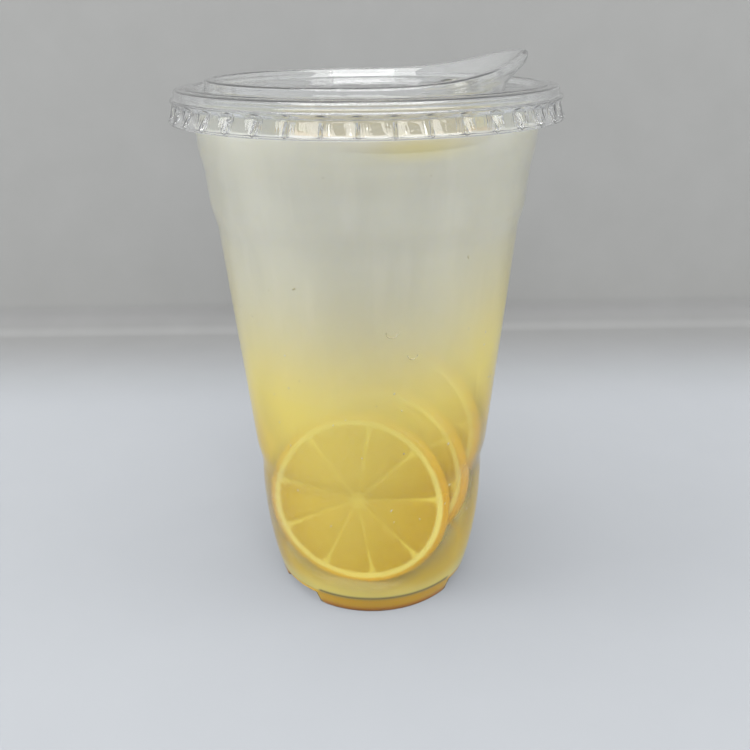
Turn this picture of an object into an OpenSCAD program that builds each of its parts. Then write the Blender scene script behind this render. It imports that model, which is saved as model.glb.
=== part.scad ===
// Cold lemonade in a clear plastic cup, closed with a clear sip lid, a lemon slice afloat on top.
// Millimetres, +Z up, origin at the middle of the foot, the lid's spout towards +X.

/* [Cup] */
// Height of the cup, foot to the top of its rolled rim
cup_h = 147; // [146:1:180]
// Outer radius of the foot where it stands
foot_r = 28.6; // [26:0.1:30]
// Outer radius of the rounded lower part at its widest
belly_r = 33.7; // [32:0.1:34.2]
// Height of that widest place
belly_z = 36; // [30:0.5:38]
// Step outwards at the stacking ledge above it
ledge_step = 1.2; // [0.6:0.1:2.5]
// Outer radius of the wall just under the rim
mouth_r = 45.2; // [40:0.1:50]
// Step inwards from the mouth to the band below it
band_step = 1.05; // [0.5:0.05:1.5]
// Step inwards from the band to the tall cone below it
cone_step = 1.3; // [0.6:0.05:2]
// Thickness of the cup's wall and floor
cup_wall = 0.4; // [0.3:0.05:0.8]
// Radius of the rolled rim's roll
roll_r = 1.9; // [1.5:0.05:2.1]

/* [Foot] */
// Number of feet moulded into the base
feet = 3; // [3:1:4]
// Height of the feet
foot_h = 4; // [3:0.25:6]
// Angle of the notch between two feet
notch_deg = 35; // [20:1:45]
// Direction of the middle of the first foot
foot_turn = -82; // [-120:1:0]
// Height of the raised floor above the notches
floor_rise = 0.8; // [0.3:0.1:2]
// Radius at which the feet meet the raised floor
foot_in_r = 20; // [16:0.5:23]

/* [Contents] */
// Depth of the drink's surface below the rim
drink_drop = 8.8; // [8.2:0.1:30]
// Gap between the drink and what it touches
drink_gap = 0.15; // [0.1:0.05:0.5]
// Radius of the floating lemon slice
slice_r = 26.5; // [22:0.5:27]
// Thickness of the floating lemon slice
slice_t = 3.6; // [3:0.1:5]
// Thickness of its rind and pith together
rind_t = 3.2; // [2:0.1:5]
// Number of segments in the slice
segments = 9; // [7:1:12]
// Direction in which the slice has floated to the wall
slice_turn = -72; // [-180:1:180]
// Gap between the slice's edge and the wall it floats beside
slice_gap = 1.5; // [0.5:0.1:10]
// Tilt of the slice, front edge down
slice_tilt = 1.5; // [0:0.1:2.5]
// How deep the slice's front edge reaches below the drink's surface
slice_dip = 2.9; // [2.5:0.1:3.4]

/* [Lid] */
// Thickness of the lid's sheet
lid_t = 0.45; // [0.3:0.05:0.55]
// Gap between the rim of the cup and the lid above it
seat_gap = 0.15; // [0.05:0.05:0.3]
// Gap between the rim of the cup and the lid around it
side_gap = 0.55; // [0.3:0.05:0.8]
// Depth of the skirt below the flange
skirt_h = 8.1; // [7:0.1:9]
// How far the skirt spreads towards its lower edge
skirt_flare = 1.6; // [1:0.1:2]
// Number of flutes around the skirt
flutes = 40; // [32:1:44]
// Direction of the middle of a flute, from the spout round
flute_turn = 2.3; // [0:0.1:9]
// Depth of the hollow between two flutes
flute_depth = 0.6; // [0.3:0.05:0.6]
// Radial width of the flange that lies over the rim
flange_w = 5.2; // [4.5:0.1:5.6]
// Distance of the drinking ring in from the outside of the cup's rim
ring_inset = 6.9; // [6.6:0.1:8]
// Radial width of the drinking ring's crest
ring_w = 2.9; // [2.4:0.1:3.5]
// Height of the drinking ring above the flange
ring_rise = 1.8; // [1:0.1:3]
// Depth of the inner panel below the flange
panel_drop = 0.8; // [0.4:0.1:1]
// Depth of the groove around the ring below the flange
groove_drop = 1.4; // [1.1:0.1:1.8]

/* [Spout] */
// Rise of the spout's lip above the drinking ring
spout_rise = 6.3; // [3:0.1:10]
// How far the foot of the spout's wall is drawn in
spout_draw = 6.4; // [4:0.1:7]
// How quickly the spout dies away around the ring
spout_power = 2.6; // [2:0.1:4]
// Distance of the drinking hole in from the foot of the spout's wall
hole_setback = 8.4; // [7.5:0.1:12]
// Length of the drinking hole across the spout
hole_l = 17; // [10:0.5:20]
// Width of the drinking hole
hole_w = 9; // [6:0.5:10]
// Height of the collar around the drinking hole
collar_h = 1; // [0.5:0.1:1.5]
// Width of that collar
collar_w = 1; // [0.6:0.1:1.2]

/* [Hidden] */
$fn = 96;

// Cup: heights of the wall's steps, counted down from the rim.
ledge_low = belly_z + 6;
ledge_top = ledge_low + 4;
band_low = cup_h - 33;
band_start = band_low + 3;
mouth_low = cup_h - 18.2;
mouth_start = mouth_low + 2.7;
roll_z = cup_h - roll_r;
roll_x = mouth_r - cup_wall + roll_r;
rim_r = roll_x + roll_r;
// The mouth and the band narrow a little downwards, and each ends in a step.
ledge_r = belly_r - 0.1 + ledge_step;
mouth_low_r = mouth_r - 0.7;
band_r = mouth_low_r - band_step;
band_low_r = band_r - 0.95;
cone_r = band_low_r - cone_step;
belly_curve = 2.2;
belly_steps = 9;
foot_chamfer = 0.8;
foot_batter = 2;
curl_steps = 14;
curl_turn = 250;

// Outer radius of the rounded lower part at height z.
function belly(z) = foot_r + (belly_r - foot_r) * (1 - pow(1 - z / belly_z, belly_curve));

// The wall from the foot up, as [height, outer radius] pairs.
wall_line = concat(
    [for (i = [0 : belly_steps]) let (z = foot_chamfer + (belly_z - foot_chamfer) * i / belly_steps) [z, belly(z)]],
    [
        [ledge_low, belly_r - 0.1],
        [ledge_top, ledge_r],
        [band_low, cone_r],
        [band_start, band_low_r],
        [mouth_low, band_r],
        [mouth_start, mouth_low_r],
        [roll_z, mouth_r],
    ]
);

// Outline of the space inside the cup, moved in by inset and cut off level at height top.
function space_outline(inset, top) = concat(
    [
        [0, foot_h + floor_rise + inset],
        [foot_in_r + inset / 2, foot_h + floor_rise + inset],
        [foot_in_r + foot_batter + inset / 2, inset],
        [foot_r - inset - foot_chamfer / 2, inset],
    ],
    [for (p = wall_line) if (p[0] > inset && p[0] < top) [p[1] - inset, p[0]]],
    [[lookup(top, wall_line) - inset, top], [0, top]]
);

// A sector of a ring, which clears a notch between two feet from the raised floor outwards.
module sector(deg, h) {
    rotate([0, 0, -deg / 2])
        rotate_extrude(angle = deg)
            translate([foot_in_r / 2, 0])
                square([foot_r, h]);
}

// The body of revolution inside the wall, with the notches between the feet left out of it.
module space(inset, top) {
    notch_wall = inset / foot_r * 180 / PI;
    difference() {
        rotate_extrude()
            polygon(space_outline(inset, top));
        for (i = [0 : feet - 1])
            rotate([0, 0, foot_turn + (i + 0.5) * 360 / feet])
                translate([0, 0, -1])
                    sector(notch_deg + 2 * notch_wall, foot_h + 1 + inset);
    }
}

// The curled rim: a strip bent into an open roll.
module rim_roll() {
    function on_roll(r, a) = [roll_x + r * cos(a), roll_z + r * sin(a)];
    rotate_extrude()
        polygon(concat(
            [for (i = [0 : curl_steps]) on_roll(roll_r, 180 - curl_turn * i / curl_steps)],
            [for (i = [curl_steps : -1 : 0]) on_roll(roll_r - cup_wall, 180 - curl_turn * i / curl_steps)]
        ));
}

module cup() {
    color([0.86, 0.90, 0.92, 0.35]) {
        difference() {
            space(0, roll_z);
            space(cup_wall, roll_z + 1);
        }
        rim_roll();
    }
}

// Slice of lemon: rounded rind, faces sunk a little where each segment lies between its skins.
drink_level = cup_h - drink_drop;
slice_low = drink_level - slice_dip;
slice_z = slice_low + slice_r * sin(slice_tilt);
slice_reach = lookup(slice_low, wall_line) - cup_wall - slice_gap - slice_r;
membrane = 1.1;
segment_dip = 0.25;
core_r = 2.4;

module place_slice() {
    translate([slice_reach * cos(slice_turn), slice_reach * sin(slice_turn), slice_z])
        rotate([slice_tilt, 0, 0])
            children();
}

// Outline of one segment: straight sides along the skins, a round back, a blunt inner tip.
function segment_outline(half, r) = concat(
    [[core_r + membrane, 0.4]],
    [for (i = [0 : 6]) let (a = half * (0.8 - 1.6 * i / 6)) [r * cos(a), r * sin(a)]],
    [[core_r + membrane, -0.4]]
);

module segment_pockets() {
    half = 180 / segments - membrane / slice_r * 90 / PI;
    for (i = [0 : segments - 1])
        rotate([0, 0, i * 360 / segments + 2.5 * sin(i * 137)])
            linear_extrude(height = segment_dip * 2, center = true)
                polygon(segment_outline(half, slice_r - rind_t + 0.4 * cos(i * 91)));
}

module lemon_float() {
    edge = slice_t / 2;
    color([0.93, 0.83, 0.30])
        place_slice()
            difference() {
                rotate_extrude()
                    polygon(concat(
                        [[0, 0], [slice_r - edge, 0]],
                        [for (a = [-60 : 30 : 60]) [slice_r - edge + edge * cos(a), edge + edge * sin(a)]],
                        [[slice_r - edge, slice_t], [0, slice_t]]
                    ));
                segment_pockets();
                translate([0, 0, slice_t])
                    segment_pockets();
            }
}

module drink() {
    color([0.90, 0.90, 0.76])
        difference() {
            space(cup_wall + drink_gap, drink_level);
            place_slice()
                translate([0, 0, -drink_gap])
                    cylinder(r = slice_r + drink_gap, h = slice_t + 2 * drink_gap + 2);
        }
}

// Lid. Heights and radii follow the cup's rim.
flange_z = cup_h + seat_gap + lid_t;
panel_z = flange_z - panel_drop;
groove_z = flange_z - groove_drop;
ring_z = flange_z + ring_rise;
collar_z = panel_z + collar_h;
shoulder_r = rim_r + side_gap + lid_t;
flange_in_r = shoulder_r - flange_w;
skirt_z = flange_z - skirt_h;
skirt_r = shoulder_r + skirt_flare;
ring_r = rim_r - ring_inset;
ring_in_r = ring_r - ring_w;
hole_x = ring_in_r - spout_draw - hole_setback;
crest = 0.5;
// A flute's flat is narrow at the top of the skirt and wide at its lower edge, as shares of the pitch.
flat_top = 0.22;
flat_low = 0.42;
flat_even = 0.3;

// Rings of points, from the drinking hole out to the skirt's edge. Each is
// [radius, height, spout's pull on radius, spout's pull on height, flat's share, valley's depth, inset r, inset z].
upper_rings = [
    [ring_in_r - 0.6, panel_z, -spout_draw + 0.6, 0, flat_even, 0, 0, -1],
    [ring_in_r - 0.2, panel_z + 0.8, -spout_draw + 2.2, spout_rise * 0.3, flat_even, 0, 0.9, -0.4],
    [ring_in_r, ring_z - crest, 0.4, spout_rise - 0.2, flat_even, 0, 1, -0.2],
    [ring_in_r + crest, ring_z, 0.6, spout_rise, flat_even, 0, 0.5, -1],
    [ring_r - crest, ring_z, -0.2, spout_rise - 1.4, flat_even, 0, -0.5, -1],
    [ring_r, ring_z - crest, -0.9, spout_rise - 2.2, flat_even, 0, -1, 0],
    [ring_r + 0.2, groove_z + 1, -spout_draw + 1, spout_rise * 0.25, flat_even, 0, -1, 0],
    [ring_r + 0.4, groove_z, -spout_draw - 0.8, 0, flat_even, 0, -0.8, -1],
    [flange_in_r - 1, groove_z, 0, 0, flat_even, 0, 0.6, -1],
    [flange_in_r, flange_z, 0, 0, flat_even, 0, 0.6, -1],
    [shoulder_r - 1.2, flange_z, 0, 0, flat_even, 0, 0, -1],
    [shoulder_r, flange_z - 0.9, 0, 0, flat_even, 0, -1, -0.4],
    [shoulder_r + 0.1, flange_z - 2, 0, 0, flat_even, 0, -1, 0],
    [shoulder_r + 0.8, flange_z - 2.8, 0, 0, flat_even, 0, -1, 0],
    [shoulder_r + 0.5, flange_z - 3.4, 0, 0, flat_top, flute_depth, -1, 0],
    [skirt_r - 0.3, skirt_z + 0.6, 0, 0, flat_low, flute_depth / 2, -1, 0],
    [skirt_r, skirt_z, 0, 0, flat_low, 0, -1, 0],
];
columns = flutes * 3;

function column_deg(c, share) = flute_turn + (floor(c / 3) + [-share, share, 0.5][c % 3]) * 360 / flutes;

// One point of a ring, with its spout and flutes, moved into the sheet by sink.
function ring_point(g, c, sink) = let (
    a = column_deg(c, g[4]),
    s = pow(max(0, cos(a)), spout_power),
    r = g[0] + g[2] * s - (c % 3 == 2 ? g[5] : 0) + g[6] * sink
) [r * cos(a), r * sin(a), g[1] + g[3] * s + g[7] * sink];

// One point around the drinking hole, out from its edge by grow.
function hole_point(c, grow, z) = let (a = column_deg(c, flat_even))
    [hole_x + (hole_w / 2 + grow) * cos(a), (hole_l / 2 + grow) * sin(a), z];

// Closed round of every ring: up the collar, out over the top, back underneath.
lid_points = concat(
    [for (c = [0 : columns - 1]) hole_point(c, 0, collar_z)],
    [for (c = [0 : columns - 1]) hole_point(c, collar_w, collar_z)],
    [for (c = [0 : columns - 1]) hole_point(c, collar_w + 0.4, panel_z)],
    [for (g = upper_rings, c = [0 : columns - 1]) ring_point(g, c, 0)],
    [for (k = [len(upper_rings) - 1 : -1 : 0], c = [0 : columns - 1]) ring_point(upper_rings[k], c, lid_t)],
    [for (c = [0 : columns - 1]) hole_point(c, 0, panel_z - lid_t)]
);
lid_rings = len(lid_points) / columns;

module lid() {
    color([0.88, 0.91, 0.93, 0.35])
        polyhedron(
            points = lid_points,
            faces = [
                for (k = [0 : lid_rings - 1], c = [0 : columns - 1])
                    let (k2 = (k + 1) % lid_rings, c2 = (c + 1) % columns)
                        for (f = [
                            [k * columns + c, k * columns + c2, k2 * columns + c2],
                            [k * columns + c, k2 * columns + c2, k2 * columns + c],
                        ]) f
            ]
        );
}

cup();
drink();
lemon_float();
lid();
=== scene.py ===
import math
import random

import bmesh
import bpy
import numpy as np
from mathutils import Euler, Matrix, Vector
from mathutils.bvhtree import BVHTree


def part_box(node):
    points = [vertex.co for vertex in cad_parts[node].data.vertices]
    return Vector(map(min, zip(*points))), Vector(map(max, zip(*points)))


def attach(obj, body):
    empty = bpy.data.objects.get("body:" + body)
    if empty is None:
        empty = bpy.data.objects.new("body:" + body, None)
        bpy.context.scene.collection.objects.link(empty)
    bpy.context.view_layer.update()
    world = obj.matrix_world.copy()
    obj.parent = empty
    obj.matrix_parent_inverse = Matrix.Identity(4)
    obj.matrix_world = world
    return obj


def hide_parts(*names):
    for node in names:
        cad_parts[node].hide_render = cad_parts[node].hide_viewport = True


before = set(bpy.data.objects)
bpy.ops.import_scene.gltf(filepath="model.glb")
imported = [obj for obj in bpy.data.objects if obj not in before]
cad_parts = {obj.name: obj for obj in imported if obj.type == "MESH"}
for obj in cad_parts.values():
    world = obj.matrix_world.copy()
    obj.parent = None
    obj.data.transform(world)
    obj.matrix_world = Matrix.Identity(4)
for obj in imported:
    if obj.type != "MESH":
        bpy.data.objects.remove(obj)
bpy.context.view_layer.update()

MM = 0.001
SEED = 21


# ---------------------------------------------------------------- finishes

class Wire:
    """A shader socket that can be added, multiplied and so on with numbers and other sockets."""

    def __init__(self, finish, socket):
        self.finish = finish
        self.socket = socket

    def math(self, operation, *others):
        inputs = {0: self}
        inputs.update({i + 1: other for i, other in enumerate(others)})
        return self.finish.node("ShaderNodeMath", {"operation": operation}, inputs)

    def __add__(self, other):
        return self.math("ADD", other)

    def __mul__(self, other):
        return self.math("MULTIPLY", other)

    def __sub__(self, other):
        return self.math("SUBTRACT", other)

    def __rsub__(self, other):
        return (self * -1) + other

    __radd__ = __add__
    __rmul__ = __mul__

    def limit(self):
        return self.math("MINIMUM", 1).math("MAXIMUM", 0)

    def step(self, low, high):
        """0 below low, 1 above high, and a smooth rise between them."""
        ends = {"From Min": low, "From Max": high, "Value": self}
        return self.finish.node("ShaderNodeMapRange", {"interpolation_type": "SMOOTHSTEP"}, ends)


class Finish:
    """One procedural material and the nodes in it."""

    def __init__(self, name):
        self.material = bpy.data.materials.new(name)
        self.material.use_nodes = True
        self.tree = self.material.node_tree
        self.tree.nodes.clear()

    def node(self, kind, settings=None, inputs=None, output=0):
        made = self.tree.nodes.new(kind)
        for key, value in (settings or {}).items():
            setattr(made, key, value)
        for key, value in (inputs or {}).items():
            if isinstance(value, Wire):
                self.tree.links.new(value.socket, made.inputs[key])
            else:
                made.inputs[key].default_value = value
        return Wire(self, made.outputs[output])

    def mix(self, share, first, second):
        """Blend of two colours by share."""
        return self.node("ShaderNodeMix", {"data_type": "RGBA"}, {0: share, 6: first, 7: second}, 2)

    def where(self):
        """The point on the piece, in metres."""
        return self.node("ShaderNodeTexCoord", output="Object")

    def stretched(self, x, y, z):
        """The point with each direction scaled, which draws a pattern out."""
        inputs = {0: self.where(), 1: (x, y, z)}
        return self.node("ShaderNodeVectorMath", {"operation": "MULTIPLY"}, inputs)

    def noise(self, place, scale, detail=3.0, rough=0.5):
        inputs = {"Vector": place, "Scale": scale, "Detail": detail, "Roughness": rough}
        return self.node("ShaderNodeTexNoise", None, inputs)

    def cells(self, place, scale):
        return self.node("ShaderNodeTexVoronoi", None, {"Vector": place, "Scale": scale})

    def carried(self, name):
        """A value that the mesh carries at its points."""
        return self.node("ShaderNodeAttribute", {"attribute_name": name}, output="Fac")

    def bump(self, height, distance, strength=1.0):
        inputs = {"Height": height, "Distance": distance, "Strength": strength}
        return self.node("ShaderNodeBump", None, inputs)

    def principled(self, inputs):
        return self.node("ShaderNodeBsdfPrincipled", None, inputs)

    def done(self, shader):
        out = self.tree.nodes.new("ShaderNodeOutputMaterial")
        self.tree.links.new(shader.socket, out.inputs["Surface"])
        return self.material


def tint(red, green, blue):
    """A colour given in screen values from 0 to 255."""
    return (*[(c / 255) ** 2.2 for c in (red, green, blue)], 1.0)


def let_lamps_through(finish, shader, share=1.0):
    """Lamp light passes the surface unbent, so what is inside is lit."""
    lamp_ray = finish.node("ShaderNodeLightPath", output="Is Shadow Ray")
    clear = finish.node("ShaderNodeBsdfTransparent")
    return finish.node("ShaderNodeMixShader", None, {0: lamp_ray * share, 1: shader, 2: clear})


PLASTIC_IOR = 1.5
WET_PLASTIC_IOR = 1.36  # a sheet with drink behind it mirrors less at its inner side


def clear_sheet(name, roughness, ripple_depth, clearness, ior=PLASTIC_IOR):
    """Clear thermoformed plastic sheet with faint ripples from the mould."""
    finish = Finish(name)
    ripple = finish.noise(finish.stretched(1, 1, 2.5), 160, 2.0)
    fine = finish.noise(finish.where(), 900, 1.0)
    relief = finish.bump(ripple + fine * 0.15, ripple_depth)
    sheet = finish.principled({
        "Base Color": (0.985, 0.99, 0.99, 1),
        "Roughness": roughness,
        "IOR": ior,
        "Transmission Weight": clearness,
        "Normal": relief,
    })
    return finish.done(let_lamps_through(finish, sheet))


def cloudy_lemonade():
    """Pale cloudy juice: clear towards a slice that lies near, and round the slices a painted
    honey-yellow glow for the light they scatter into the cloud.
    """
    finish = Finish("cloudy_lemonade")
    clear = finish.carried("clear")
    glow = finish.carried("glow")
    foot = finish.carried("foot")
    cloud = finish.noise(finish.stretched(1, 1, 0.45), 55, 4.0, 0.55)
    wisps = finish.noise(finish.stretched(1, 1, 0.12), 240, 3.0, 0.6)
    specks = finish.cells(finish.where(), 620).step(0.16, 0.05)
    pale = finish.mix(cloud.step(0.3, 0.7), PALE_DRINK, PALE_DRINK_LIGHT)
    pale = finish.mix(wisps.step(0.45, 0.8) * 0.35, pale, PALE_DRINK_WISP)
    # painted light: honey-yellow glow of the light the slices scatter into the cloudy drink
    body = finish.mix(glow.step(0.0, 0.55), pale, SLICE_GLOW_PAINTED_LIGHT)
    body = finish.mix(glow.step(0.45, 1.0), body, SLICE_GLOW_PAINTED)
    # gold and amber in the feet: partly drink pooled in the lobes, partly painted reflection of yellow
    # light
    body = finish.mix(foot.step(0.0, 0.5), body, FOOT_DRINK_AND_REFLECTION)
    body = finish.mix(foot.step(0.5, 1.0), body, FOOT_DRINK_AND_REFLECTION_LOW)
    # painted shade: dark line for the shadow in the crease above the feet, with a painted reflection of
    # a dark stand
    body = finish.mix(finish.carried("line") * 0.9, body, FOOT_CREASE_SHADE)
    # painted shade: the drink's top surface made darker
    body = finish.mix(finish.carried("top"), body, DRINK_TOP_SHADE)
    # painted light: lighter over the upper wall's steps, to lift the shade on their down-facing sides
    body = finish.mix(finish.carried("step") * 0.42, body, STEP_PAINTED_LIGHT)
    body = finish.mix(specks * 0.12, body, PULP_PALE)
    cover = 1 - clear * (0.9 + cloud * 0.2)
    drink = finish.principled({
        "Base Color": body,
        "Roughness": 0.4,
        "Specular IOR Level": 0.15,
        "Subsurface Weight": 0.6,
        "Subsurface Radius": (1.0, 0.9, 0.6),
        "Subsurface Scale": 12 * MM,
        "Alpha": cover.limit(),
    })
    return finish.done(let_lamps_through(finish, drink, 0.95))


def lemon_flesh():
    """Cut lemon: wet vesicles drawn out along the radius, pale skins and pith, yellow rind."""
    finish = Finish("lemon_flesh")
    rho = finish.carried("rho")
    skin = finish.carried("skin")
    around = finish.carried("around")
    place = finish.node("ShaderNodeCombineXYZ", None, {0: rho * 10, 1: around * 34})
    vesicle = finish.cells(place, 1.0)
    streak = finish.noise(place, 1.6, 3.0)
    flesh = finish.mix(vesicle.step(0.1, 0.8), FLESH_DEEP, FLESH_LIGHT)
    flesh = finish.mix(streak.step(0.4, 0.75) * 0.5, flesh, FLESH_PALE)
    flesh = finish.mix(skin, flesh, SKIN_PALE)
    ragged = rho + finish.noise(finish.where(), 700) * 0.012
    cut = finish.mix(ragged.step(PITH_FROM - 0.02, PITH_FROM + 0.015), flesh, PITH)
    cut = finish.mix(ragged.step(RIND_FROM - 0.02, RIND_FROM + 0.012), cut, RIND)
    pores = finish.cells(finish.where(), 1100).step(0.3, 0.0) * rho.step(0.97, 0.995)
    cut = finish.mix(pores * 0.35, cut, RIND_DEEP)
    # painted shade: the floating slice darkened and greyed in soft patches
    painted_shade_share = finish.carried("painted_shade") * (0.75 + finish.noise(finish.where(), 160) * 0.5)
    cut = finish.mix(painted_shade_share.limit(), cut, FLOAT_PAINTED_SHADE)
    relief = finish.bump(vesicle * 0.6 + streak * 0.4 - pores, 0.25 * MM, 0.6)
    wet = finish.principled({
        "Base Color": cut,
        "Roughness": 0.32 + streak * 0.12,
        "IOR": 1.36,
        "Normal": relief,
    })
    return finish.done(wet)


def pulp_finish():
    finish = Finish("pulp")
    tone = finish.noise(finish.where(), 500, 2.0)
    colour = finish.mix(tone.step(0.35, 0.65), PULP_PALE, PULP_DARK)
    return finish.done(finish.principled({"Base Color": colour, "Roughness": 0.45}))


def bubble_finish():
    finish = Finish("bubble")
    tone = finish.noise(finish.where(), 700, 2.0)
    colour = finish.mix(tone.step(0.3, 0.7), BUBBLE_TONE, BUBBLE_LIGHT)
    return finish.done(finish.principled({"Base Color": colour, "Roughness": 0.12, "Alpha": 0.45}))


def stage_finish(name):
    """Plain paper sweep with painted shade: it darkens towards its bend, is darkest in the cove and
    turns to the wall's colour there.
    """
    finish = Finish(name)
    grain = finish.noise(finish.where(), 40, 3.0)
    depth = finish.node("ShaderNodeSeparateXYZ", None, {0: finish.where()}, "Y")
    height = finish.node("ShaderNodeSeparateXYZ", None, {0: finish.where()}, "Z")
    # painted shade: darker towards the bend and in the cove
    colour = finish.mix(depth.step(BEND_FROM, BEND_TO), FLOOR_TONE, BEND_SHADE)
    colour = finish.mix(height.step(0.0, SWEEP_RADIUS * 0.3), colour, COVE_SHADE)
    colour = finish.mix(height.step(SWEEP_RADIUS * 0.6, SWEEP_RADIUS * 1.2), colour, WALL_TONE)
    colour = finish.mix(grain * 0.04, colour, PAPER_GRAIN)
    return finish.done(finish.principled({"Base Color": colour, "Roughness": 0.85}))


PALE_DRINK = tint(197, 198, 187)
PALE_DRINK_LIGHT = tint(206, 207, 195)
PALE_DRINK_WISP = tint(213, 213, 204)
# painted shade for the drink's top surface
DRINK_TOP_SHADE = tint(158, 158, 139)
# painted light over the steps of the upper wall
STEP_PAINTED_LIGHT = tint(232, 232, 218)
# painted glow of light scattered from the slices into the drink
SLICE_GLOW_PAINTED_LIGHT = tint(238, 221, 118)
SLICE_GLOW_PAINTED = tint(224, 187, 8)
# feet: partly the drink's own colour in the lobes, partly painted reflection
FOOT_DRINK_AND_REFLECTION = tint(218, 168, 18)
FOOT_DRINK_AND_REFLECTION_LOW = tint(190, 118, 0)
# painted shadow in the crease above the feet
FOOT_CREASE_SHADE = tint(70, 54, 16)
PULP_PALE = tint(214, 212, 192)
PULP_DARK = tint(176, 168, 128)
BUBBLE_TONE = tint(214, 205, 158)
BUBBLE_LIGHT = tint(236, 230, 200)
FLESH_DEEP = tint(180, 141, 0)
FLESH_LIGHT = tint(196, 158, 0)
FLESH_PALE = tint(216, 182, 14)
SKIN_PALE = tint(244, 224, 96)
PITH = tint(250, 236, 128)
RIND = tint(226, 170, 0)
RIND_DEEP = tint(192, 130, 0)
# painted shade for the floating slice
FLOAT_PAINTED_SHADE = tint(164, 162, 136)
PITH_FROM = 0.885
RIND_FROM = 0.945


# ---------------------------------------------------------------- meshes

def smooth_step(x):
    x = np.clip(x, 0, 1)
    return x * x * (3 - 2 * x)


def skin_of_rings(name, rings, closed_round=False):
    """Mesh over rings of points, rings[row, column] = xyz. Every ring closes on itself.
    closed_round joins the last ring to the first."""
    rows, columns = rings.shape[:2]
    mesh = bpy.data.meshes.new(name)
    last = rows if closed_round else rows - 1
    faces = []
    for i in range(last):
        j = (i + 1) % rows
        for c in range(columns):
            d = (c + 1) % columns
            faces.append((i * columns + c, i * columns + d, j * columns + d, j * columns + c))
    mesh.from_pydata(rings.reshape(-1, 3).tolist(), [], faces)
    return mesh


SAME_PLACE = 1e-7
NO_LENGTH = 1e-8


def piece_from(mesh, finish, smooth=True):
    """Object for a finished mesh: poles merged, faces turned outwards, riding on the part."""
    work = bmesh.new()
    work.from_mesh(mesh)
    bmesh.ops.remove_doubles(work, verts=work.verts, dist=SAME_PLACE)
    bmesh.ops.dissolve_degenerate(work, dist=NO_LENGTH, edges=work.edges)
    bmesh.ops.recalc_face_normals(work, faces=work.faces)
    work.to_mesh(mesh)
    work.free()
    if smooth:
        mesh.polygons.foreach_set("use_smooth", [True] * len(mesh.polygons))
    piece = bpy.data.objects.new(mesh.name, mesh)
    bpy.context.scene.collection.objects.link(piece)
    mesh.materials.append(finish)
    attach(piece, "root")
    return piece


def carry(mesh, name, values):
    """Gives the mesh a value at each point for its finish."""
    layer = mesh.attributes.new(name, "FLOAT", "POINT")
    layer.data.foreach_set("value", np.asarray(values, dtype=np.float32).ravel())


def rounded(corners, steps=5):
    """Polyline through corners, each a (point, radius) pair, with its corners rounded off.
    Points are arrays over the columns, so that every column gets the same number of rows."""
    line = [corners[0][0]]
    for (before, _), (corner, radius), (after, _) in zip(corners, corners[1:], corners[2:]):
        back, forth = before - corner, after - corner
        back_length = np.linalg.norm(back, axis=0)
        forth_length = np.linalg.norm(forth, axis=0)
        reach = np.minimum(radius, 0.48 * np.minimum(back_length, forth_length))
        start = corner + back * (reach / back_length)
        end = corner + forth * (reach / forth_length)
        for k in range(steps + 1):
            t = k / steps
            line.append(start * (1 - t) ** 2 + corner * 2 * t * (1 - t) + end * t * t)
    line.append(corners[-1][0])
    return np.array(line)


def beside(line, distance):
    """The same polyline moved sideways by distance, to the right of its direction."""
    along = np.gradient(line, axis=0)
    length = np.maximum(np.linalg.norm(along, axis=1, keepdims=True), 1e-12)
    along = along / length
    side = np.stack([along[:, 1], -along[:, 0]], axis=1)
    return line + side * distance


def turned(line, angles):
    """Rings of points from sections: line[row] = (radius, height) over the columns at those angles."""
    radius, height = line[:, 0], line[:, 1]
    return np.stack([radius * np.cos(angles), radius * np.sin(angles), height], axis=2)


# ---------------------------------------------------------------- the cup

cup_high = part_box("cup")[1]
drink_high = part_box("drink")[1]
float_low, float_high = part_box("lemon_float")
lid_low, lid_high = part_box("lid")

WALL = 0.4 * MM
ROLL = 1.9 * MM
RIM = cup_high.x
ROLL_Z = cup_high.z - ROLL
MOUTH = RIM + WALL - 2 * ROLL
LEVEL = drink_high.z
SOFTENING = 2.6 * MM
FOOT_H = 4.0 * MM
FLOOR_RISE = 0.8 * MM
FOOT_IN = 20.0 * MM
FOOT_BATTER = 2.0 * MM
FEET = 3
FOOT_TURN = math.radians(-82)
NOTCH = math.radians(35)
NOTCH_EDGE = math.radians(1.6)
FOOT_CORNER = 1.0 * MM
SQUEEZE_TO = 7.0 * MM
EVEN_COLUMNS = 216
NOTCH_EDGE_COLUMNS = 7
CLOSEST_COLUMNS = math.radians(0.7)
FLOOR_RINGS = (0, 5, 9.6, 10, 10.4, 15, 19)  # radii in mm
DIMPLE_RINGS = (10, 10.4, 15)
DIMPLE = 0.25 * MM
WALL_ROWS_FROM = 11.2 * MM
WALL_ROW = 1.2 * MM
RING_POINTS = 40


def wall_knots():
    """Heights and outer radii where the cup's outline bends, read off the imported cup."""
    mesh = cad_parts["cup"].data
    points = np.array([v.co for v in mesh.vertices])
    radius = np.hypot(points[:, 0], points[:, 1])
    heights = np.round(points[:, 2], 4)
    knots = []
    for height in np.unique(heights):
        ring = radius[heights == height]
        widest = ring.max()
        whole_ring = np.count_nonzero(ring > widest - 0.05 * MM) > RING_POINTS
        if whole_ring and height < ROLL_Z - 2 * ROLL and widest > FOOT_IN + 3 * FOOT_BATTER:
            knots.append((height, widest))
    knots.append((ROLL_Z, MOUTH))
    return np.array(knots)


KNOTS = wall_knots()


def wall_radius(height):
    """Outer radius of the cup's wall, with its steps softened as moulded plastic's are."""
    spread = np.linspace(-SOFTENING, SOFTENING, 9)
    return np.mean([np.interp(height + s, KNOTS[:, 0], KNOTS[:, 1]) for s in spread], axis=0)


FOOT_R = float(KNOTS[0, 1])


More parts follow.
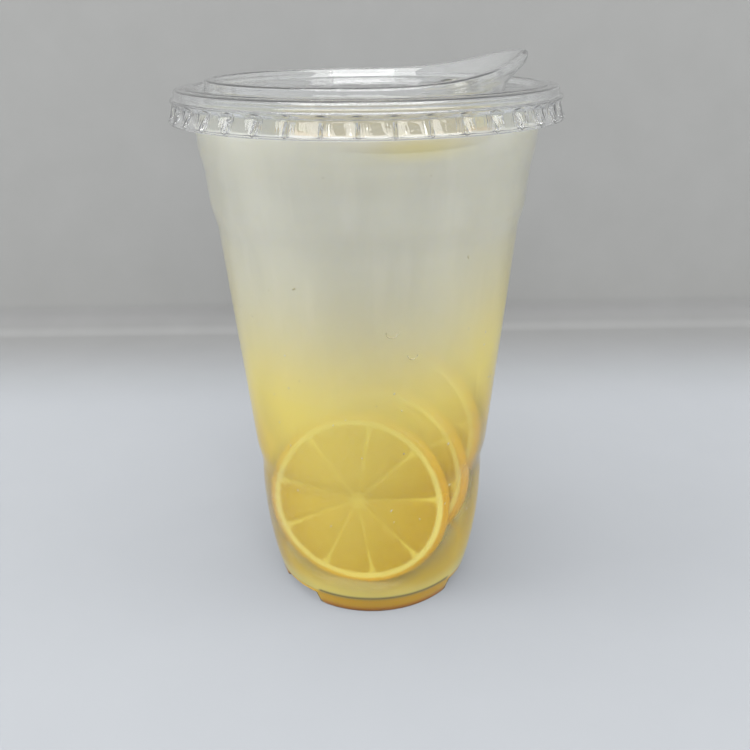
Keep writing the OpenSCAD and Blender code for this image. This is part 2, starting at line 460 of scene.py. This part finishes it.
def cup_angles():
    """Directions of the columns, closer together at the notches' sides."""
    even = np.linspace(-math.pi, math.pi, EVEN_COLUMNS, endpoint=False)
    sides = []
    for i in range(FEET):
        middle = FOOT_TURN + (i + 0.5) * 2 * math.pi / FEET
        for side in (-1, 1):
            edge = middle + side * NOTCH / 2
            sides.extend(edge + np.linspace(-0.5, 0.5, NOTCH_EDGE_COLUMNS) * NOTCH_EDGE)
    sides = (np.array(sides) + math.pi) % (2 * math.pi) - math.pi
    keep = [a for a in even if np.abs(a - sides).min() > CLOSEST_COLUMNS]
    return np.sort(np.concatenate([keep, sides]))


ANGLES = cup_angles()


def notch_share(angles, widen=0.0):
    """1 in a notch between two feet, 0 on a foot."""
    turn = 2 * math.pi / FEET
    off = (angles - FOOT_TURN) % turn - turn / 2
    return smooth_step((NOTCH / 2 + widen - np.abs(off)) / NOTCH_EDGE + 0.5)


def cup_section(inset, top):
    """Line from under the middle of the floor, round the foot and up the wall, over all columns."""
    ones = np.ones_like(ANGLES)
    base = notch_share(ANGLES, inset / FOOT_R) * FOOT_H
    floor = FOOT_H + FLOOR_RISE + inset
    line = []
    for r in FLOOR_RINGS:
        dimple = DIMPLE if r in DIMPLE_RINGS else 0
        line.append(np.array([r * MM * ones, (floor - dimple) * ones]))
    for t in (0, 0.08, 0.3, 0.5, 0.7, 0.92, 1):
        r = FOOT_IN + inset / 2 + FOOT_BATTER * t
        line.append(np.array([r * ones, base * t + inset * t + floor * (1 - t)]))
    for r in np.linspace(FOOT_IN + 2 * FOOT_BATTER, FOOT_R - inset - 1.6 * FOOT_CORNER, 4):
        line.append(np.array([r * ones, base + inset]))
    for degrees in (10, 35, 60, 85):
        a = math.radians(degrees)
        reach = wall_radius(base + inset + FOOT_CORNER) - inset
        r = reach - FOOT_CORNER * (1 - math.sin(a))
        line.append(np.array([r, base + inset + FOOT_CORNER * (1 - math.cos(a))]))
    start = inset + FOOT_CORNER * 1.15
    low_rows = np.linspace(start, 10 * MM, 12)
    heights = np.concatenate([low_rows, np.arange(WALL_ROWS_FROM, top, WALL_ROW), [top]])
    for height in heights:
        squeeze = max(0.0, 1 - height / SQUEEZE_TO)
        z = height + base * squeeze
        line.append(np.array([wall_radius(z) - inset, z]))
    return np.array(line)


def rim_arc(radius, degrees):
    """Arc of the curled rim, as rows over all columns."""
    middle = MOUTH - WALL + ROLL
    ones = np.ones_like(ANGLES)
    rows = []
    for a in np.radians(degrees):
        out, up = radius * math.cos(a), radius * math.sin(a)
        rows.append(np.array([(middle + out) * ones, (ROLL_Z + up) * ones]))
    return np.array(rows)


def make_cup(finish):
    outside = cup_section(0, ROLL_Z)
    inside = cup_section(WALL, ROLL_Z)[::-1]
    under_roll = rim_arc(ROLL - WALL, np.linspace(170, -70, 20))
    over_roll = rim_arc(ROLL, np.linspace(-70, 170, 24))
    section = np.concatenate([outside, under_roll, over_roll, inside])
    mesh = skin_of_rings("cup_clear", turned(section, ANGLES))
    cup = piece_from(mesh, finish)
    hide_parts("cup")
    return cup


# ---------------------------------------------------------------- lemon slices

SLICE_T = 3.8 * MM
SLICE_COLUMNS = 252
FACE_ROWS = 26
EDGE_ROWS = 7
EDGE_ROUND = 0.75
CORE = 0.085
VESICLE_RISE = 0.3 * MM
PITH_RISE = 0.12 * MM
FACE_DROP = 0.15 * MM


def lemon_slice(name, radius, thickness, segments, chance, painted_shade=0.0):
    """Round of lemon: bulging segments between thin skins, a pith ring and a slightly uneven rind."""
    angle = np.linspace(0, 2 * math.pi, SLICE_COLUMNS, endpoint=False)
    uneven = 1 + 0.008 * np.sin(2 * angle + chance.uniform(0, 6))
    uneven = uneven + 0.006 * np.sin(3 * angle + chance.uniform(0, 6))
    uneven = uneven / uneven.max()
    walls = np.array([i + chance.uniform(-0.16, 0.16) for i in range(segments)])
    walls = walls * 2 * math.pi / segments
    off = np.abs((angle[:, None] - walls[None, :] + math.pi) % (2 * math.pi) - math.pi).min(axis=1)
    half = thickness / 2
    face_radius = radius - half * EDGE_ROUND
    rings, rho, skin = [], [], []

    def add_ring(r, height):
        rings.append(np.stack([r * uneven * np.cos(angle), r * uneven * np.sin(angle), height], 1))

    def face_ring(share, side):
        r = share * face_radius
        rise_at_wall = smooth_step((off * r / MM - 0.35) / 1.6)
        in_flesh = smooth_step((share - CORE) / 0.08) * smooth_step((0.955 - share) / 0.05)
        bulge = (rise_at_wall - 0.75) * in_flesh * VESICLE_RISE
        pith = PITH_RISE * smooth_step((share - 0.93) / 0.03)
        add_ring(r, side * (half - FACE_DROP + bulge + pith))
        rho.append(np.full(SLICE_COLUMNS, share * face_radius / radius))
        fan = 0.65 + 1.3 * smooth_step((share - 0.8) / 0.13)
        thin = 1 - smooth_step((off * max(r, 1e-6) / MM - 0.15) / fan)
        thin = thin * (0.35 + 0.65 * smooth_step((share - 0.55) / 0.3))
        middle = 0.6 * (1 - smooth_step((share - CORE + 0.03) / 0.05))
        skin.append(np.clip(thin + middle, 0, 1))

    shares = np.linspace(0, 1, FACE_ROWS) ** 0.85
    for share in shares:
        face_ring(share, 1)
    for k in range(1, EDGE_ROWS):
        a = math.pi / 2 - math.pi * k / EDGE_ROWS
        out = half * EDGE_ROUND * math.cos(a)
        add_ring(face_radius + out, np.full(SLICE_COLUMNS, half * math.sin(a)))
        rho.append(np.full(SLICE_COLUMNS, 1.0))
        skin.append(np.zeros(SLICE_COLUMNS))
    for share in shares[::-1]:
        face_ring(share, -1)
    mesh = skin_of_rings(name, np.array(rings))
    carry(mesh, "rho", rho)
    carry(mesh, "skin", skin)
    # share of painted shade on the slice
    carry(mesh, "painted_shade", np.full(len(mesh.vertices), painted_shade))
    carry(mesh, "around", np.tile(np.abs(((angle / math.pi) % 2) - 1), len(rings)))
    return mesh


def laid(mesh, place, lean, turn, spin):
    """Stands a flat slice up, leans its top back, turns it about the vertical and sets it in place."""
    matrix = (Matrix.Translation(place) @ Matrix.Rotation(turn, 4, "Z")
              @ Matrix.Rotation(math.radians(90) - lean, 4, "X") @ Matrix.Rotation(spin, 4, "Z"))
    mesh.transform(matrix)
    return mesh


# name, middle in mm, radius in mm, lean, turn and spin in degrees, number of segments
SUNK = [
    ("slice_front", (-4.0, -15.2, 31.4), 27.5, 8, -14, 6, 9),
    ("slice_second", (5.2, -5.2, 37.0), 25.8, 8, -28, 40, 10),
    ("slice_third", (8.4, 2.4, 47.0), 26.0, 10, -21, 15, 9),
    ("slice_left", (-5.2, 14.8, 54.0), 26.0, 12, 0, 70, 10),
]


def make_slices(finish):
    chance = random.Random(SEED)
    made = []
    for name, middle, radius, lean, turn, spin, segments in SUNK:
        mesh = lemon_slice(name, radius * MM, SLICE_T, segments, chance)
        place = Vector(middle) * MM
        laid(mesh, place, math.radians(lean), math.radians(turn), math.radians(spin))
        made.append(piece_from(mesh, finish))
    return made


FLOAT_TILT = math.radians(1.5)
FLOAT_SEGMENTS = 9
# share of painted shade on the floating slice
FLOAT_SHADE_SHARE = 0.74


def make_float(finish):
    """The slice afloat at the top, in the place of the CAD slice."""
    chance = random.Random(SEED + 1)
    radius = (float_high.x - float_low.x) / 2
    thickness = (float_high.z - float_low.z) - 2 * radius * math.sin(FLOAT_TILT)
    mesh = lemon_slice("slice_afloat", radius, thickness, FLOAT_SEGMENTS, chance, FLOAT_SHADE_SHARE)
    place = (float_low + float_high) / 2
    mesh.transform(Matrix.Translation(place) @ Matrix.Rotation(FLOAT_TILT, 4, "X"))
    piece = piece_from(mesh, finish)
    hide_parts("lemon_float")
    return piece


# ---------------------------------------------------------------- the drink

REACH = 0.15 * MM
MENISCUS = 1.1 * MM
MENISCUS_FALL = 0.9
TOP_GAPS = (0.25, 0.6, 1.1, 1.8, 2.8, 4.2, 7, 11, 16, 22, 28, 34, 39, 42)  # from the wall, in mm
# share of painted shade on the drink's top surface
TOP_SHADE_SHARE = 0.8
FOG = 20.0 * MM
# wall slopes over which the painted step light grows
STEEP = (0.08, 0.32)
HALFWAY = 70 * MM
# height below which a look begins, and the height over which it grows full
FOOT_GOLD = (6.4 * MM, 1.4 * MM)
FOOT_AMBER = (3.2 * MM, 2.6 * MM)
LOW_DRINK = (13 * MM, 8 * MM)
BACK_HAZE = 0.6
HAZE_GLOW = 0.35
EDGE_FOG = 5.5
LOOK_DOWN = 0.4
NO_SLICE = 1.0
FLOAT_FOG = 3.0 * MM
FLOAT_REACH = 2.2 * MM
GLOW = 31.0 * MM
CLEAREST = 0.9
FLOAT_CLEAREST = 0.5
FLOAT_GLOW = 0.6
# height of the painted crease shadow
FOOT_CREASE_SHADE_Z = 6.0 * MM


def slice_tree(slices):
    corners, faces = [], []
    for piece in slices:
        start = len(corners)
        corners.extend(v.co.copy() for v in piece.data.vertices)
        faces.extend([start + i for i in p.vertices] for p in piece.data.polygons)
    return BVHTree.FromPolygons(corners, faces)


def nearest(tree, points):
    """Distance from each point to the nearest slice."""
    return np.array([tree.find_nearest(Vector(p))[3] for p in points])


def inwards(tree, points):
    """Distance to the first slice met going in from the front or the back, a little downwards."""
    found = []
    for point in points:
        heading = Vector((0, 1 if point[1] < 0 else -1, -LOOK_DOWN)).normalized()
        hit = tree.ray_cast(Vector(point), heading)
        found.append(hit[3] if hit[3] is not None else NO_SLICE)
    return np.array(found)


def blurred(values, rows, passes=6):
    """Evens out a value given on rings of points, along and round them."""
    grid = values.reshape(rows, -1)
    for _ in range(passes):
        grid = (np.roll(grid, 1, 1) + grid * 2 + np.roll(grid, -1, 1)) / 4
        padded = np.pad(grid, ((1, 1), (0, 0)), "edge")
        grid = (padded[:-2] + grid * 2 + padded[2:]) / 4
    return grid.ravel()


def make_drink(finish, sunk, afloat):
    """The drink, reaching just into the wall, with a raised edge where it meets it."""
    inset = WALL - REACH
    side = cup_section(inset, LEVEL + MENISCUS)
    ones = np.ones_like(ANGLES)
    edge = wall_radius(LEVEL) - inset
    top = []
    for gap in TOP_GAPS:
        drop = math.exp(-gap / MENISCUS_FALL)
        top.append(np.array([(edge - gap * MM) * ones, (LEVEL + MENISCUS * drop) * ones]))
    top.append(np.array([0 * ones, LEVEL * ones]))
    rings = turned(np.concatenate([side, np.array(top)]), ANGLES)
    mesh = skin_of_rings("lemonade", rings)
    points = rings.reshape(-1, 3)
    sunk_tree = slice_tree(sunk)
    away = nearest(sunk_tree, points)
    depth = np.minimum(away * EDGE_FOG, inwards(sunk_tree, points))
    height = points[:, 2]
    surface = np.repeat(np.arange(len(rings)) >= len(side), len(ANGLES))
    from_float = nearest(slice_tree([afloat]), points)
    clear = CLEAREST * blurred(np.exp(-(depth / FOG) ** 1.3), len(rings))
    clear = np.maximum(clear, FLOAT_CLEAREST * np.exp(-from_float / FLOAT_FOG))
    clear = clear * (1 - surface)
    # painted glow, strongest next to the sunk slices and the floating one, for the light they scatter
    # into the drink
    glow = np.exp(-(away / GLOW) ** 1.35) + FLOAT_GLOW * np.exp(-(from_float / FLOAT_REACH) ** 2)
    # gold and amber low in the feet, partly drink pooled in the lobes, partly painted reflection
    at_wall = smooth_step((np.hypot(points[:, 0], points[:, 1]) - FOOT_R) / (2 * MM) + 1.5)
    gold = smooth_step((FOOT_GOLD[0] - height) / FOOT_GOLD[1])
    amber = smooth_step((FOOT_AMBER[0] - height) / FOOT_AMBER[1])
    foot = (gold + amber) / 2 * at_wall
    lobes = np.tile(1 - notch_share(ANGLES, 1 * MM / FOOT_R), len(rings))
    # painted shadow line in the crease above the feet, on the lobes only
    line = np.exp(-((height - FOOT_CREASE_SHADE_Z) / (0.5 * MM)) ** 2) * lobes * at_wall
    low = smooth_step((LOW_DRINK[0] - height) / LOW_DRINK[1])
    clear = clear * (1 - foot) * (1 - BACK_HAZE * smooth_step((points[:, 1] + 12 * MM) / (20 * MM)))
    glow = glow * (1 - 0.45 * low * at_wall) * (1 - 0.7 * low * (1 - at_wall))
    # painted light over the steps of the upper wall, which face down into shade
    slope = (wall_radius(height + MM) - wall_radius(height - MM)) / (2 * MM)
    step = np.clip((slope - STEEP[0]) / (STEEP[1] - STEEP[0]), 0, 1)
    step = step * (height > HALFWAY) * (1 - surface)
    carry(mesh, "line", line)
    carry(mesh, "step", step)
    # painted shade on the drink's top surface
    carry(mesh, "top", surface.astype(float) * TOP_SHADE_SHARE)
    carry(mesh, "clear", clear)
    carry(mesh, "glow", glow)
    carry(mesh, "foot", foot)
    piece = piece_from(mesh, finish)
    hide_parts("drink")
    return piece


def make_haze(finish):
    """Cloudy ring over the feet inside the drink, which hides their far walls as the drink does."""
    middle, half, thick = (FOOT_IN + FOOT_R) / 2, (FOOT_R - FOOT_IN) / 2, 0.3 * MM
    base = FOOT_H + FLOOR_RISE + WALL + thick
    ones = np.ones_like(ANGLES)
    line = []
    for degrees in range(0, 360, 30):
        a = math.radians(degrees)
        out, up = half * math.cos(a), thick * math.sin(a)
        line.append(np.array([(middle + out) * ones, (base + up) * ones]))
    mesh = skin_of_rings("lemonade_haze", turned(np.array(line), ANGLES), closed_round=True)
    for name in ("clear", "foot", "line", "step", "top"):
        carry(mesh, name, np.zeros(len(mesh.vertices)))
    # the haze ring carries some of the painted glow from the slices too
    carry(mesh, "glow", np.full(len(mesh.vertices), HAZE_GLOW))
    return piece_from(mesh, finish)


# ---------------------------------------------------------------- the lid

SHEET = 0.45 * MM
FLUTES = 40
FLUTE_TURN = math.radians(2.3)
FLUTE_DEPTH = 1.3 * MM
FLAT_TOP = 0.36
FLAT_LOW = 0.84
SKIRT_R = lid_high.x
SKIRT_Z = lid_low.z
SHOULDER = SKIRT_R - 1.6 * MM
FLANGE_Z = cup_high.z + 0.15 * MM + SHEET
FLANGE_IN = SHOULDER - 5.2 * MM
PANEL_Z = FLANGE_Z - 0.8 * MM
GROOVE_Z = FLANGE_Z - 1.4 * MM
RING_R = RIM - 6.9 * MM
RING_IN = RING_R - 2.9 * MM
RING_Z = FLANGE_Z + 1.8 * MM
SPOUT_RISE = lid_high.z - RING_Z
SPOUT_DRAW = 6.4 * MM
SPOUT_POWER = 2.6
HOLE_X = RING_IN - SPOUT_DRAW - 8.4 * MM
HOLE_HALF = (4.5 * MM, 8.5 * MM)


def lid_angles():
    pitch = 2 * math.pi / FLUTES
    shares = np.array([-0.5, -0.43, -0.36, -0.28, -0.2, -0.1, 0.1, 0.2, 0.28, 0.36, 0.43])
    return np.array([FLUTE_TURN + (i + s) * pitch for i in range(FLUTES) for s in shares])


LID_ANGLES = lid_angles()


def flute_depth(flat):
    """How far a column lies back from the skirt's widest, where flats take up that share of it."""
    pitch = 2 * math.pi / FLUTES
    off = (LID_ANGLES - FLUTE_TURN + pitch / 2) % pitch - pitch / 2
    share = np.abs(off) / (pitch / 2)
    hollow = np.clip((share - flat) / (1 - flat), 0, 1) * FLUTE_DEPTH
    facet = SKIRT_R * (1 - np.cos(flat * pitch / 2) / np.cos(np.minimum(np.abs(off), flat * pitch / 2)))
    return hollow + np.maximum(facet, 0)


def lid_section():
    """Top of the lid's sheet from the panel's edge out over ring, flange and skirt."""
    spout = np.maximum(0, np.cos(LID_ANGLES)) ** SPOUT_POWER
    ones = np.ones_like(LID_ANGLES)

    def at(radius, height):
        return np.array([radius * ones, height * ones])

    top_flute = flute_depth(FLAT_TOP)
    low_flute = flute_depth(FLAT_LOW)
    lift = SPOUT_RISE * spout
    corners = [
        (at(RING_IN - 2.4 * MM - SPOUT_DRAW * spout, PANEL_Z), 0),
        (at(RING_IN - 0.7 * MM - (SPOUT_DRAW - 0.6 * MM) * spout, PANEL_Z), 1.0 * MM),
        (at(RING_IN - 0.35 * MM - (SPOUT_DRAW - 2.6 * MM) * spout,
            PANEL_Z + 0.9 * MM + 0.34 * lift), 2.5 * MM),
        (at(RING_IN + 0.1 * MM + 0.4 * MM * spout, RING_Z - 0.02 * MM + lift), 1.1 * MM),
        (at(RING_R - 0.15 * MM - 0.15 * MM * spout,
            RING_Z - 0.02 * MM + lift - 0.5 * MM * spout), 1.1 * MM),
        (at(RING_R - 0.05 * MM - 1.0 * MM * spout,
            RING_Z - 1.3 * MM + lift - 1.4 * MM * spout), 0.5 * MM),
        (at(RING_R + 0.1 * MM - (SPOUT_DRAW - 0.8 * MM) * spout,
            GROOVE_Z + 0.9 * MM + 0.25 * lift), 1.8 * MM),
        (at(RING_R + 0.45 * MM - (SPOUT_DRAW + 0.8 * MM) * spout, GROOVE_Z), 0.6 * MM),
        (at(FLANGE_IN - 1.1 * MM, GROOVE_Z), 0.6 * MM),
        (at(FLANGE_IN, FLANGE_Z - 0.02 * MM), 0.6 * MM),
        (at(FLANGE_IN + 2.3 * MM, FLANGE_Z - 0.02 * MM), 0.3 * MM),
        (at(FLANGE_IN + 2.7 * MM, FLANGE_Z - 0.3 * MM), 0.3 * MM),
        (at(SHOULDER - 0.1 * MM, FLANGE_Z - 0.3 * MM), 1.1 * MM),
        (at(SHOULDER, FLANGE_Z - 2.1 * MM), 0.6 * MM),
        (at(SHOULDER + 0.85 * MM, FLANGE_Z - 2.6 * MM), 0.5 * MM),
        (at(SHOULDER + 0.85 * MM, FLANGE_Z - 3.3 * MM), 0.4 * MM),
        (at(SHOULDER + 0.45 * MM - top_flute, FLANGE_Z - 4.2 * MM), 0.3 * MM),
        (at(SKIRT_R - 0.25 * MM - low_flute, SKIRT_Z + 0.9 * MM), 0.4 * MM),
        (at(SKIRT_R - 0.02 * MM, SKIRT_Z + 0.55 * MM), 0.3 * MM),
        (at(SKIRT_R - 0.02 * MM, SKIRT_Z), 0),
    ]
    return rounded(corners, 4)


def around_hole(grow, height):
    """Ring of points round the drinking hole."""
    x = HOLE_X + (HOLE_HALF[0] + grow) * np.cos(LID_ANGLES)
    y = (HOLE_HALF[1] + grow) * np.sin(LID_ANGLES)
    return np.stack([x, y, np.full_like(x, height)], axis=1)


PAD_ANGLES = (math.radians(78), math.radians(104))
PAD_H = 2.2 * MM
PAD_T = 0.3 * MM


def make_pad(finish):
    """Plain frosted pad moulded on the outside of the ring, opposite the front."""
    angle = np.linspace(*PAD_ANGLES, 25)
    corner = 0.5 * MM
    section = [(0, 0), (PAD_T * 0.8, corner * 0.2), (PAD_T, corner), (PAD_T, PAD_H - corner),
               (PAD_T * 0.8, PAD_H - corner * 0.2), (0, PAD_H)]
    rings = [[((RING_R - 0.1 * MM + out) * math.cos(a), (RING_R - 0.1 * MM + out) * math.sin(a),
               RING_Z - 0.7 * MM - PAD_H + up) for out, up in section] for a in angle]
    rings = np.array(rings)
    mesh = skin_of_rings("ring_pad", rings)
    work = bmesh.new()
    work.from_mesh(mesh)
    work.verts.ensure_lookup_table()
    n = len(section)
    work.faces.new([work.verts[i] for i in range(n)])
    work.faces.new([work.verts[i] for i in range(len(work.verts) - n, len(work.verts))])
    work.to_mesh(mesh)
    work.free()
    return piece_from(mesh, finish, smooth=False)


def make_lid(finish):
    top = lid_section()
    under = np.stack([beside(top[:, :, c], SHEET) for c in range(top.shape[2])], axis=2)
    top_rings = turned(top, LID_ANGLES)
    under_rings = turned(under, LID_ANGLES)[::-1]
    collar = [around_hole(g * MM, PANEL_Z + h * MM) for g, h in
              ((0, 0.2), (0.05, 0.8), (0.25, 1.0), (0.75, 1.0), (0.95, 0.8), (1.05, 0.3), (1.4, 0))]
    collar_edge, panel_edge = collar[-1], top_rings[0]
    panel = [collar_edge + (panel_edge - collar_edge) * t for t in (0.15, 0.4, 0.7, 0.9)]
    low_edge = around_hole(0, PANEL_Z - SHEET)
    low_panel = [under_rings[-1] + (low_edge - under_rings[-1]) * t for t in (0.2, 0.5, 0.8)]
    rings = np.concatenate([np.array(collar), np.array(panel), top_rings, under_rings,
                            np.array(low_panel), low_edge[None]])
    mesh = skin_of_rings("lid_clear", rings, closed_round=True)
    lid = piece_from(mesh, finish)
    crisp = [SKIRT_Z + 0.8 * MM < p.center.z < FLANGE_Z - 3.9 * MM for p in mesh.polygons]
    mesh.polygons.foreach_set("use_smooth", [not c for c in crisp])
    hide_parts("lid")
    return lid


# ---------------------------------------------------------------- small things in the drink

def spread_blobs(name, blobs, finish, rounds=2):
    """Many small lumps as one joined mesh. Each blob is (place, size, stretch, turn)."""
    work = bmesh.new()
    for place, size, stretch, turn in blobs:
        matrix = (Matrix.Translation(place) @ turn.to_matrix().to_4x4()
                  @ Matrix.Diagonal((size * stretch[0], size * stretch[1], size * stretch[2], 1)))
        bmesh.ops.create_icosphere(work, subdivisions=rounds, radius=1.0, matrix=matrix)
    mesh = bpy.data.meshes.new(name)
    work.to_mesh(mesh)
    work.free()
    return piece_from(mesh, finish)


def on_wall(angle, height, depth):
    """Point that deep behind the cup's outside, and the rotation that lays a lump against the wall."""
    r = float(wall_radius(height)) - depth
    place = Vector((r * math.cos(angle), r * math.sin(angle), height))
    return place, Euler((0, 0, angle))


PULP_COUNT = 110
PULP_HEIGHTS = (8, 134, 70)  # lowest, highest and most common, in mm
BUBBLE_COUNT = 90
BUBBLES_FROM = 138  # heights in mm
BUBBLE_HIGHEST = 137
BIG_BUBBLES = [(-82, 92.5, 1.5), (-74, 86, 1.35), (-79.5, 90.4, 0.8), (-71, 88.2, 0.6)]


def make_pulp(finish):
    chance = random.Random(SEED + 2)
    blobs = []
    for _ in range(PULP_COUNT):
        angle = chance.uniform(-math.pi, math.pi)
        height = chance.triangular(*PULP_HEIGHTS) * MM
        place, turn = on_wall(angle, height, WALL - REACH)
        size = chance.uniform(0.12, 0.3) * MM
        turn.rotate_axis("X", chance.uniform(-1.2, 1.2))
        blobs.append((place, size, (0.4, 1.0, chance.uniform(1.0, 2.4)), turn))
    return spread_blobs("pulp_flecks", blobs, finish, 1)


def make_bubbles(finish):
    """Small bubbles flattened against the wall, each a thin raised ring.
    A spot is a direction in degrees, a height and a radius in mm."""
    chance = random.Random(SEED + 3)
    spots = list(BIG_BUBBLES)
    for _ in range(BUBBLE_COUNT):
        degrees, below_level = chance.uniform(-180, 180), abs(chance.gauss(0, 22))
        spots.append((degrees, BUBBLES_FROM - below_level, chance.uniform(0.2, 0.6)))
    around = np.linspace(0, 2 * math.pi, 20, endpoint=False)
    work = bmesh.new()
    for degrees, height, size in spots:
        place, turn = on_wall(math.radians(degrees), min(height, BUBBLE_HIGHEST) * MM, WALL - 0.02 * MM)
        tilt = turn.to_matrix()
        rows = []
        for a in np.linspace(0, 2 * math.pi, 8, endpoint=False):
            wide = size * MM * (1 + 0.14 * math.cos(a))
            out = -0.07 * size * MM * math.sin(a)
            ring = [Vector((out, wide * math.cos(b), wide * math.sin(b))) for b in around]
            rows.append([work.verts.new(place + tilt @ point) for point in ring])
        for i, row in enumerate(rows):
            following = rows[(i + 1) % len(rows)]
            for j in range(len(row)):
                k = (j + 1) % len(row)
                work.faces.new((row[j], row[k], following[k], following[j]))
    mesh = bpy.data.meshes.new("bubbles")
    work.to_mesh(mesh)
    work.free()
    return piece_from(mesh, finish)


# ---------------------------------------------------------------- build

cup_finish = clear_sheet("clear_cup_sheet", 0.06, 0.1 * MM, 0.99, WET_PLASTIC_IOR)
lid_finish = clear_sheet("clear_lid_sheet", 0.03, 0.05 * MM, 0.963)
lemon_finish = lemon_flesh()
make_cup(cup_finish)
sunk_slices = make_slices(lemon_finish)
afloat = make_float(lemon_finish)
drink_finish = cloudy_lemonade()
make_drink(drink_finish, sunk_slices, afloat)
make_haze(drink_finish)
make_lid(lid_finish)
make_pad(clear_sheet("frosted_pad", 0.3, 0.1 * MM, 0.92))
make_pulp(pulp_finish())
make_bubbles(bubble_finish())


# ---------------------------------------------------------------- stage, light, camera

CAMERA_BACK = 0.2293
CAMERA_UP = 0.1628
CAMERA_DOWN = math.radians(23.14)
CAMERA_ROLL = math.radians(0.68)
CAMERA_TURN = math.radians(0.33)
CAMERA_LENS = 39.95
SWEEP_FRONT = -1.4
FLOOR_TONE = tint(166, 169, 173)
# painted shade of the sweep's bend and cove
BEND_SHADE = tint(134, 134, 133)
COVE_SHADE = tint(118, 118, 117)
WALL_TONE = tint(131, 131, 129)
PAPER_GRAIN = tint(235, 235, 235)
SWEEP_BACK = 0.225
SWEEP_RADIUS = 0.014
SWEEP_WIDTH = 3.0
SWEEP_TOP = 2.2
BEND_FROM = 0.11
BEND_TO = 0.22


def make_sweep():
    """Floor that curves up into a plain wall."""
    line = [(SWEEP_FRONT, 0.0)]
    line += [(y, 0.0) for y in np.linspace(SWEEP_FRONT / 2, SWEEP_BACK - SWEEP_RADIUS, 6)]
    for k in range(1, 13):
        a = math.pi / 2 * k / 12
        depth = SWEEP_BACK - SWEEP_RADIUS * (1 - math.sin(a))
        line.append((depth, SWEEP_RADIUS * (1 - math.cos(a))))
    line += [(SWEEP_BACK, z) for z in (0.2, 0.6, SWEEP_TOP)]
    across = np.linspace(-SWEEP_WIDTH / 2, SWEEP_WIDTH / 2, 9)
    corners = [(x, y, z) for y, z in line for x in across]
    n = len(across)
    faces = [(i * n + j, i * n + j + 1, (i + 1) * n + j + 1, (i + 1) * n + j)
             for i in range(len(line) - 1) for j in range(n - 1)]
    mesh = bpy.data.meshes.new("sweep")
    mesh.from_pydata(corners, [], faces)
    mesh.polygons.foreach_set("use_smooth", [True] * len(mesh.polygons))
    sweep = bpy.data.objects.new("sweep", mesh)
    bpy.context.scene.collection.objects.link(sweep)
    mesh.materials.append(stage_finish("sweep"))


def add_lamp(name, place, aim, width, height, power, diffuse=True, glossy=False):
    data = bpy.data.lights.new(name, "AREA")
    data.shape = "RECTANGLE"
    data.size = width
    data.size_y = height
    data.energy = power
    lamp = bpy.data.objects.new(name, data)
    lamp.location = place
    lamp.visible_diffuse = diffuse
    lamp.visible_glossy = glossy
    lamp.visible_transmission = False
    lamp.rotation_euler = (Vector(aim) - Vector(place)).to_track_quat("-Z", "Y").to_euler()
    bpy.context.scene.collection.objects.link(lamp)


def add_world(colour, strength):
    world = bpy.data.worlds.new("soft_room")
    world.use_nodes = True
    back = world.node_tree.nodes["Background"]
    back.inputs["Color"].default_value = colour
    back.inputs["Strength"].default_value = strength
    bpy.context.scene.world = world


def add_camera():
    data = bpy.data.cameras.new("camera")
    data.sensor_width = 36
    data.lens = CAMERA_LENS
    data.clip_start = 0.01
    camera = bpy.data.objects.new("camera", data)
    turn = (Matrix.Rotation(-CAMERA_TURN, 4, "Z") @ Matrix.Rotation(math.pi / 2 - CAMERA_DOWN, 4, "X")
            @ Matrix.Rotation(-CAMERA_ROLL, 4, "Z"))
    camera.matrix_world = Matrix.Translation((0, -CAMERA_BACK, CAMERA_UP)) @ turn
    bpy.context.scene.collection.objects.link(camera)
    bpy.context.scene.camera = camera


make_sweep()
middle = (0, 0, 0.08)
add_world((0.93, 0.96, 1.0, 1), 0.62)
add_lamp("top_softbox", (-0.1, -0.25, 0.95), middle, 1.2, 0.8, 7.5)
add_lamp("strip", (0.05, -0.75, 0.75), middle, 0.9, 0.06, 2.2, glossy=True)
add_lamp("highlight_card", (0.0, -0.7, 1.0), middle, 1.9, 1.1, 40.0, diffuse=False, glossy=True)
add_lamp("low_card", (0.0, -1.2, 0.42), middle, 1.7, 0.1, 2.8, diffuse=False, glossy=True)
add_lamp("front_fill", (0.05, -1.1, 0.15), middle, 1.0, 0.26, 6.1)
add_lamp("left_fill", (-0.9, -0.05, 0.25), middle, 0.5, 0.5, 4.9)
add_lamp("right_fill", (0.9, -0.05, 0.25), middle, 0.5, 0.5, 3.9)
add_camera()

scene = bpy.context.scene
scene.view_settings.view_transform = "Standard"
scene.view_settings.look = "None"
scene.cycles.max_bounces = 24
scene.cycles.transmission_bounces = 20
scene.cycles.transparent_max_bounces = 24
scene.cycles.caustics_reflective = False
scene.cycles.caustics_refractive = False
